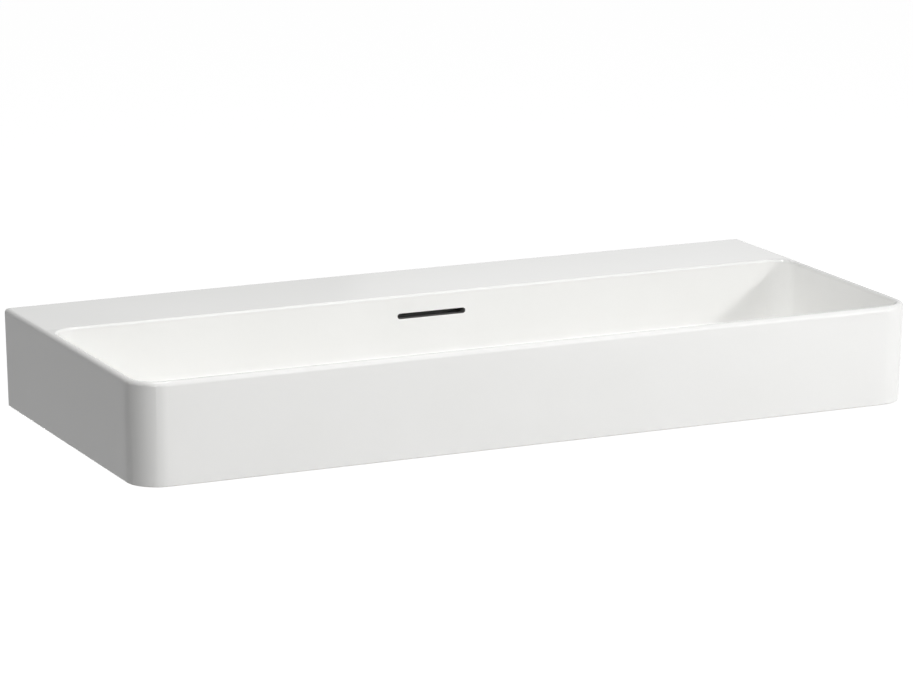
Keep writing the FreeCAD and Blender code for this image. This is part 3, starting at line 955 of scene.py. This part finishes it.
@dataclass
class ScrewThread:
    """A threaded wall about an upright axis, closed into a ring or a rod."""

    tree: ThreadTree
    crest: float
    depth: float
    pitch: float
    bottom: float
    top: float
    bore: float
    around: int
    rows_per_pitch: int = 12
    run_out_turns: float = 0.8
    end_tolerance: float = 0.01 * MM

    def build(self, name: str, material: bpy.types.Material) -> bmesh.types.BMesh:
        """Grow the wall and close it.

        Args:
            name: Name of the mesh.
            material: Its material.

        Returns:
            The closed thread as an editable mesh about the Z axis.
        """
        height = self.top - self.bottom
        mesh = self.tree.grow(name, {
            "Crest Radius": self.crest, "Depth": self.depth, "Pitch": self.pitch, "Bottom": self.bottom,
            "Height": height, "Run Out": self.pitch * self.run_out_turns, "Around": self.around,
            "Rows": round(height / self.pitch * self.rows_per_pitch), "Material": material})
        bm = editable(mesh)
        self._close(bm)
        return bm

    def _close(self, bm: bmesh.types.BMesh) -> None:
        """Add the bore wall and the two end faces, or plain ends where there is no bore.

        Args:
            bm: The threaded wall.
        """
        ends = []
        for level in (self.bottom, self.top):
            loop = [vert for vert in bm.verts
                    if vert.is_boundary and abs(vert.co.z - level) < self.end_tolerance]
            ends.append(sorted(loop, key=lambda vert: math.atan2(vert.co.y, vert.co.x)))
        if self.bore > 0:
            inner = [[bm.verts.new(self._at_bore(vert.co)) for vert in loop] for loop in ends]
            for first, second in ((ends[0], inner[0]), (inner[0], inner[1]), (inner[1], ends[1])):
                for number in range(len(first)):
                    following = (number + 1) % len(first)
                    bm.faces.new((first[number], second[number], second[following], first[following]))
        else:
            for loop in ends:
                bm.faces.new(loop)
        bmesh.ops.recalc_face_normals(bm, faces=bm.faces)

    def _at_bore(self, place: Vector) -> Vector:
        """The point of the bore wall beside a point of the thread."""
        share = self.bore / math.hypot(place.x, place.y)
        return Vector((place.x * share, place.y * share, place.z))


@dataclass
class Waste(Assembly):
    """The waste: its chromed body with the thread for the trap, and what clamps it to the basin."""

    thread: ThreadTree
    cut_level: float = -70.3 * MM
    tail_bottom: float = -89 * MM
    crest: float = 20.95 * MM
    thread_depth: float = 1.48 * MM
    pitch: float = 2.309 * MM
    bore: float = 18.5 * MM
    around: int = 96

    def build(self) -> None:
        """Make the threaded body and dress the plain nodes."""
        bm = self._body()
        tail = ScrewThread(self.thread, self.crest, self.thread_depth, self.pitch, self.tail_bottom,
                           self.cut_level, self.bore, self.around).build("tail", self.palette[Finish.CHROME])
        bmesh.ops.translate(tail, verts=tail.verts, vec=WASTE_AXIS)
        mesh = bpy.data.meshes.new("tail")
        tail.to_mesh(mesh)
        tail.free()
        bm.from_mesh(mesh)
        bpy.data.meshes.remove(mesh)
        mesh = finish_mesh(bm, "threaded_waste", FLAT_EDGE_DEG)
        self._piece(mesh, Finish.CHROME, "basin", "chromed_brass", "waste_body")
        self._dress_nodes({"flange_gasket": Finish.BLACK_RUBBER, "taper_gasket": Finish.BLACK_RUBBER,
                           "slip_washer": Finish.WHITE_PLASTIC, "backnut": Finish.BRASS})

    def _body(self) -> bmesh.types.BMesh:
        """Cut the thread's plain cylinder off the CAD surface.

        Returns:
            The surface above the thread, closed where it is cut.
        """
        bm = merged_copy(self.frame["nodes"]["waste_body"])
        cut = bmesh.ops.bisect_plane(bm, geom=[*bm.verts, *bm.edges, *bm.faces], dist=CUT_TOLERANCE,
                                     plane_co=(0, 0, self.cut_level), plane_no=(0, 0, -1), clear_outer=True)
        rim = [item for item in cut["geom_cut"] if isinstance(item, bmesh.types.BMEdge)]
        bmesh.ops.bridge_loops(bm, edges=rim)
        return bm


@dataclass
class Cover(Assembly):
    """The moving cover: cap, carrier, seal, threaded stud, lock nut and plunger."""

    thread: ThreadTree
    stud_radius: float = 3.0 * MM
    stud_pitch: float = 1.0 * MM
    stud_depth: float = 0.61 * MM
    around: int = 40
    rows_per_pitch: int = 8

    def build(self) -> None:
        """Make the stud's thread and dress the plain nodes."""
        low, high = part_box("cover_stud")
        thread = ScrewThread(self.thread, self.stud_radius, self.stud_depth, self.stud_pitch, low.z, high.z,
                             0.0, self.around, self.rows_per_pitch)
        bm = thread.build("threaded_stud", self.palette[Finish.STEEL])
        bmesh.ops.translate(bm, verts=bm.verts, vec=WASTE_AXIS)
        mesh = finish_mesh(bm, "threaded_stud", ROUND_EDGE_DEG)
        self._piece(mesh, Finish.STEEL, "cover", "steel", "cover_stud")
        self._dress_nodes({"cover_cap": Finish.CHROME, "cover_carrier": Finish.GREY_PLASTIC,
                           "cover_seal": Finish.SEAL_RUBBER, "lock_nut": Finish.STEEL,
                           "plunger": Finish.GREY_PLASTIC, "spring_washer": Finish.STEEL})


@dataclass
class Cartridge(Assembly):
    """The push-open cartridge that stands in the hub of the waste."""

    ribs: RibTree
    coil: CoilTree
    rib_count: int = 28
    collar_radius: float = 11.5 * MM
    rib_radius: float = 0.42 * MM
    collar_bottom: float = -50 * MM
    collar_height: float = 2.0 * MM
    rib_share: float = 0.9
    spring_turns: float = 5.0
    spring_radius: float = 5.6 * MM
    spring_wire: float = 0.45 * MM
    travel_joint: str = "cover_slide"

    def build(self) -> None:
        """Make the collar's grip and the spring, and dress the plain nodes."""
        self._grip()
        self._spring()
        self._dress_nodes({"cartridge_housing": Finish.GREY_PLASTIC, "cartridge_plug": Finish.GREY_PLASTIC,
                           "rod_wiper": Finish.BLACK_RUBBER, "cam_sleeve": Finish.CAM_PLASTIC,
                           "index_ring": Finish.CAM_PLASTIC})

    def _grip(self) -> None:
        """The ribs round the collar."""
        mesh = self.ribs.grow("collar_grip", {
            "Count": self.rib_count, "Radius": self.collar_radius, "Rib Radius": self.rib_radius,
            "Rib Height": self.collar_height * self.rib_share,
            "Level": self.collar_bottom + self.collar_height / 2,
            "Material": self.palette[Finish.GREY_PLASTIC]})
        mesh.transform(Matrix.Translation(WASTE_AXIS))
        self._piece(mesh, Finish.GREY_PLASTIC, "basin", "grey_plastic")

    def _spring(self) -> None:
        """The return spring, at its length at rest; the cover's travel is looked up but not used."""
        low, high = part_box("return_spring")
        mesh = self.coil.grow("return_coil", {
            "Turns": self.spring_turns, "Coil Radius": self.spring_radius, "Wire Radius": self.spring_wire,
            "Bottom": low.z + self.spring_wire, "Height": high.z - low.z - 2 * self.spring_wire,
            "Material": self.palette[Finish.STEEL]})
        mesh.transform(Matrix.Translation(WASTE_AXIS))
        bm = editable(mesh)
        bmesh.ops.recalc_face_normals(bm, faces=bm.faces)
        mesh = finish_mesh(bm, "return_coil", ROUND_EDGE_DEG)
        coil = self._piece(mesh, Finish.STEEL, "basin", "steel", "return_spring")
        joint = next(joint for joint in self.frame["joints"] if joint["name"] == self.travel_joint)
        travel = max(abs(limit) for limit in joint["range_m"])
        1 - travel / (high.z - low.z)
        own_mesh(coil)


@dataclass
class WallFixing(Assembly):
    """The plastic bushes in the rear panel."""

    def build(self) -> None:
        """Dress the bushes."""
        self._dress_nodes({"fixing_bushes": Finish.WHITE_PLASTIC})


@dataclass(frozen=True)
class Lamp:
    """One soft area lamp, aimed at the basin."""

    name: str
    place: Point
    width: float
    height: float
    watts: float
    aim: Point = (0.0, -0.2, 0.0)


@dataclass
class Studio:
    """Floor, white surround, soft lamps and the camera at the photograph's viewing angle."""

    floor_z: float = -0.85
    floor_half: float = 40.0
    floor_tone: Colour = (0.50, 0.50, 0.50)
    floor_glow: float = 0.978
    ceiling_share: float = 0.6
    ceiling_start: float = 0.3
    ceiling_end: float = 0.8
    wing_span_deg: float = 40.0
    wing_stops: tuple[tuple[float, float], ...] = (
        (18.7, 0.66), (20.0, 0.63), (23.3, 0.63), (23.8, 0.78), (26.6, 0.90), (28.3, 1.0))
    eye: Point = (-2.0174, -4.5419, 1.1060)
    yaw_deg: float = 24.916
    pitch_deg: float = 12.913
    focal_px: float = 4292.0
    frame_width_px: float = 913.0
    sensor_mm: float = 36.0
    sight: float = 200.0
    lamps: tuple[Lamp, ...] = (
        Lamp("front_right", (2.5, -4.5, 1.2), 2.0, 2.0, 27.1, (0.1, -0.2, 0.0)),
        Lamp("far_front", (0.8, -6.5, 1.4), 3.0, 2.0, 28.0),
        Lamp("low_front", (0.6, -4.2, -0.42), 3.0, 0.7, 16.4),
        Lamp("low_right", (2.6, -3.2, -0.38), 1.6, 0.8, 20.7),
        Lamp("front_left_high", (-2.2, -4.5, 2.8), 2.0, 2.0, 72.5),
        Lamp("front_high", (0.6, -3.8, 3.2), 2.4, 1.8, 4.5),
        Lamp("key_right", (3.2, -2.4, 2.0), 0.5, 0.5, 58.2, (0.1, -0.2, 0.0)),
        Lamp("over_in", (-0.25, -0.3, 1.5), 0.3, 0.8, 14.0, (0.2, -0.3, 0.0)),
        Lamp("low_rear", (0.0, 2.2, -0.76), 1.2, 0.3, 38.0, (0.0, 0.0, 0.0)),
    )

    def build(self) -> None:
        """Make everything that isn't the object."""
        self._world()
        self._floor()
        for lamp in self.lamps:
            self._lamp(lamp)
        self._camera()
        bpy.context.scene.view_settings.view_transform = "Standard"

    def _world(self) -> None:
        """A white surround for the camera, with a dimmer wing at the back left for reflections."""
        world = bpy.data.worlds.new("surround")
        bpy.context.scene.world = world
        world.use_nodes = True
        graph = Graph(world.node_tree)
        camera = graph.add("ShaderNodeLightPath", None, None, "Is Camera Ray")
        share = graph.maths("MAXIMUM", camera, self._wing(graph))
        seen = self._seen(graph)
        white = graph.add("ShaderNodeBackground", None, {"Color": WHITE, "Strength": seen * share})
        graph.add("ShaderNodeOutputWorld", None, {"Surface": white})

    def _wing(self, graph: Graph) -> Wire:
        """Dim the surround at the back left and at the ceiling.

        Args:
            graph: The world's tree.

        Returns:
            Share of white by compass direction from straight behind the basin, and by height.
        """
        x, y, z = graph.axes(graph.add("ShaderNodeTexCoord", output="Generated"))
        bearing = graph.maths("ARCTAN2", x, y) / math.radians(self.wing_span_deg)
        stops = [(deg / self.wing_span_deg, (share, share, share)) for deg, share in self.wing_stops]
        wing = graph.add("ShaderNodeValToRGB", {"stops": stops}, {"Fac": bearing})
        return wing + (self.ceiling_share - wing) * graph.ease(z, self.ceiling_start, self.ceiling_end)

    @staticmethod
    def _seen(graph: Graph) -> Wire:
        """Tell the rays by which the surround and the floor are seen.

        Args:
            graph: The tree to add to.

        Returns:
            1 for rays from the camera, in a mirror or through glass, else 0.
        """
        camera = graph.add("ShaderNodeLightPath", None, None, "Is Camera Ray")
        glossy = graph.part(camera, "Is Glossy Ray")
        clear = graph.part(camera, "Is Transmission Ray")
        return graph.maths("MAXIMUM", graph.maths("MAXIMUM", camera, glossy), clear)

    def _floor(self) -> None:
        """A pale floor well below the hung basin, which is clear when seen from below."""
        bm = bmesh.new()
        bmesh.ops.create_grid(bm, x_segments=1, y_segments=1, size=self.floor_half)
        bmesh.ops.translate(bm, verts=bm.verts, vec=(0, 0, self.floor_z))
        floor = make_object("floor", finish_mesh(bm, "floor", FLAT_EDGE_DEG))
        material = bpy.data.materials.new("pale_floor")
        material.use_nodes = True
        graph = Graph(material.node_tree)
        matt = graph.add("ShaderNodeBsdfDiffuse", None, {"Color": rgba(self.floor_tone)})
        glow = graph.add("ShaderNodeEmission", None,
                         {"Color": WHITE, "Strength": self._seen(graph) * self.floor_glow})
        pale = graph.add("ShaderNodeAddShader", None, {0: matt, 1: glow})
        below = graph.add("ShaderNodeNewGeometry", None, None, "Backfacing")
        clear = graph.add("ShaderNodeBsdfTransparent")
        both = graph.add("ShaderNodeMixShader", None, {0: below, 1: pale, 2: clear})
        graph.add("ShaderNodeOutputMaterial", None, {"Surface": both})
        dress(floor, material)

    @staticmethod
    def _lamp(lamp: Lamp) -> None:
        """Hang one lamp.

        Args:
            lamp: Its place, size and power.
        """
        light = bpy.data.lights.new(lamp.name, "AREA")
        light.shape = "RECTANGLE"
        light.size = lamp.width
        light.size_y = lamp.height
        light.energy = lamp.watts
        obj = bpy.data.objects.new(lamp.name, light)
        bpy.context.scene.collection.objects.link(obj)
        obj.location = lamp.place
        obj.rotation_euler = (Vector(lamp.aim) - Vector(lamp.place)).to_track_quat("-Z", "Y").to_euler()
        obj.visible_camera = False

    def _camera(self) -> None:
        """Set up the camera where the photograph was taken from."""
        data = bpy.data.cameras.new("view")
        data.sensor_width = self.sensor_mm
        data.lens = self.focal_px / self.frame_width_px * self.sensor_mm
        data.clip_end = self.sight
        camera = bpy.data.objects.new("view", data)
        bpy.context.scene.collection.objects.link(camera)
        yaw, pitch = math.radians(self.yaw_deg), math.radians(self.pitch_deg)
        ahead = Vector((math.sin(yaw) * math.cos(pitch), math.cos(yaw) * math.cos(pitch), -math.sin(pitch)))
        camera.location = self.eye
        camera.rotation_euler = ahead.to_track_quat("-Z", "Y").to_euler()
        bpy.context.scene.camera = camera


def main() -> None:
    """Load the frame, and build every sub-assembly around it."""
    logging.basicConfig(level=logging.INFO, format="%(name)s: %(message)s")
    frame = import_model()
    palette = Palette()
    thread = ThreadTree()
    Studio().build()
    BasinCasting(palette, frame).build()
    Waste(palette, frame, thread).build()
    Cover(palette, frame, thread).build()
    Cartridge(palette, frame, RibTree(), CoilTree()).build()
    WallFixing(palette, frame).build()


if __name__ == "__main__":
    main()
